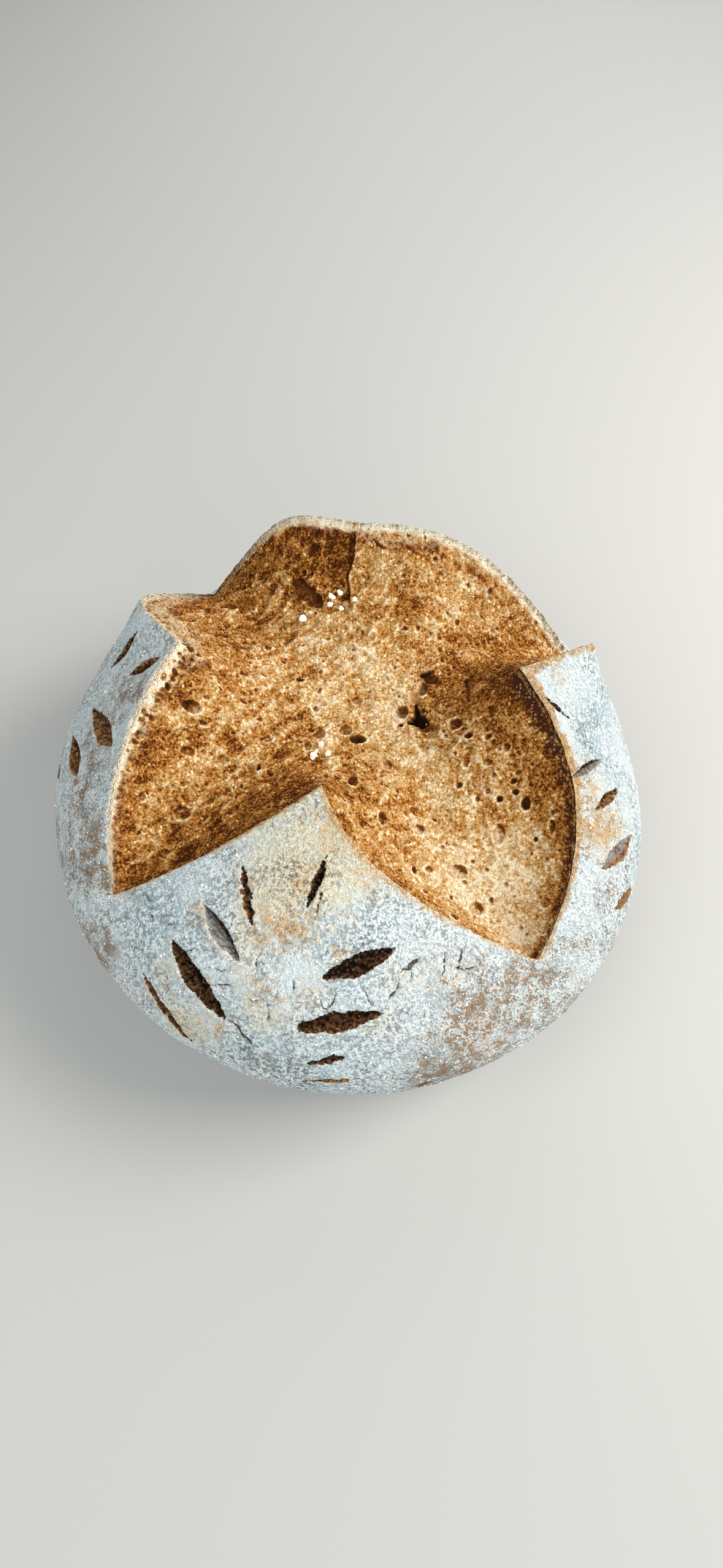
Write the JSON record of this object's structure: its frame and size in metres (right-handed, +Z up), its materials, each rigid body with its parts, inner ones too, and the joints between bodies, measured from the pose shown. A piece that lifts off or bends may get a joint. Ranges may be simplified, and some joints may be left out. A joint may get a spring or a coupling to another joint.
{
  "type": "gluten-free sourdough loaf",
  "caption": "Round crusty loaf with a wide cross-shaped opening, upturned crust flaps, leaf-shaped cuts and a flat foot.",
  "frame": {"origin": "on the flat foot that the loaf rests on, on the axis of its girth", "axes": "+Z up from the foot to the flap tips, -Y towards the front flap, +X towards the right flap"},
  "size_m": [0.2149, 0.213, 0.0977],
  "materials": {
    "bread": "matte floured crust, with browned crumb in the opening"
  },
  "bodies": {
    "root": {"loaf": "bread"}
  },
  "joints": []
}
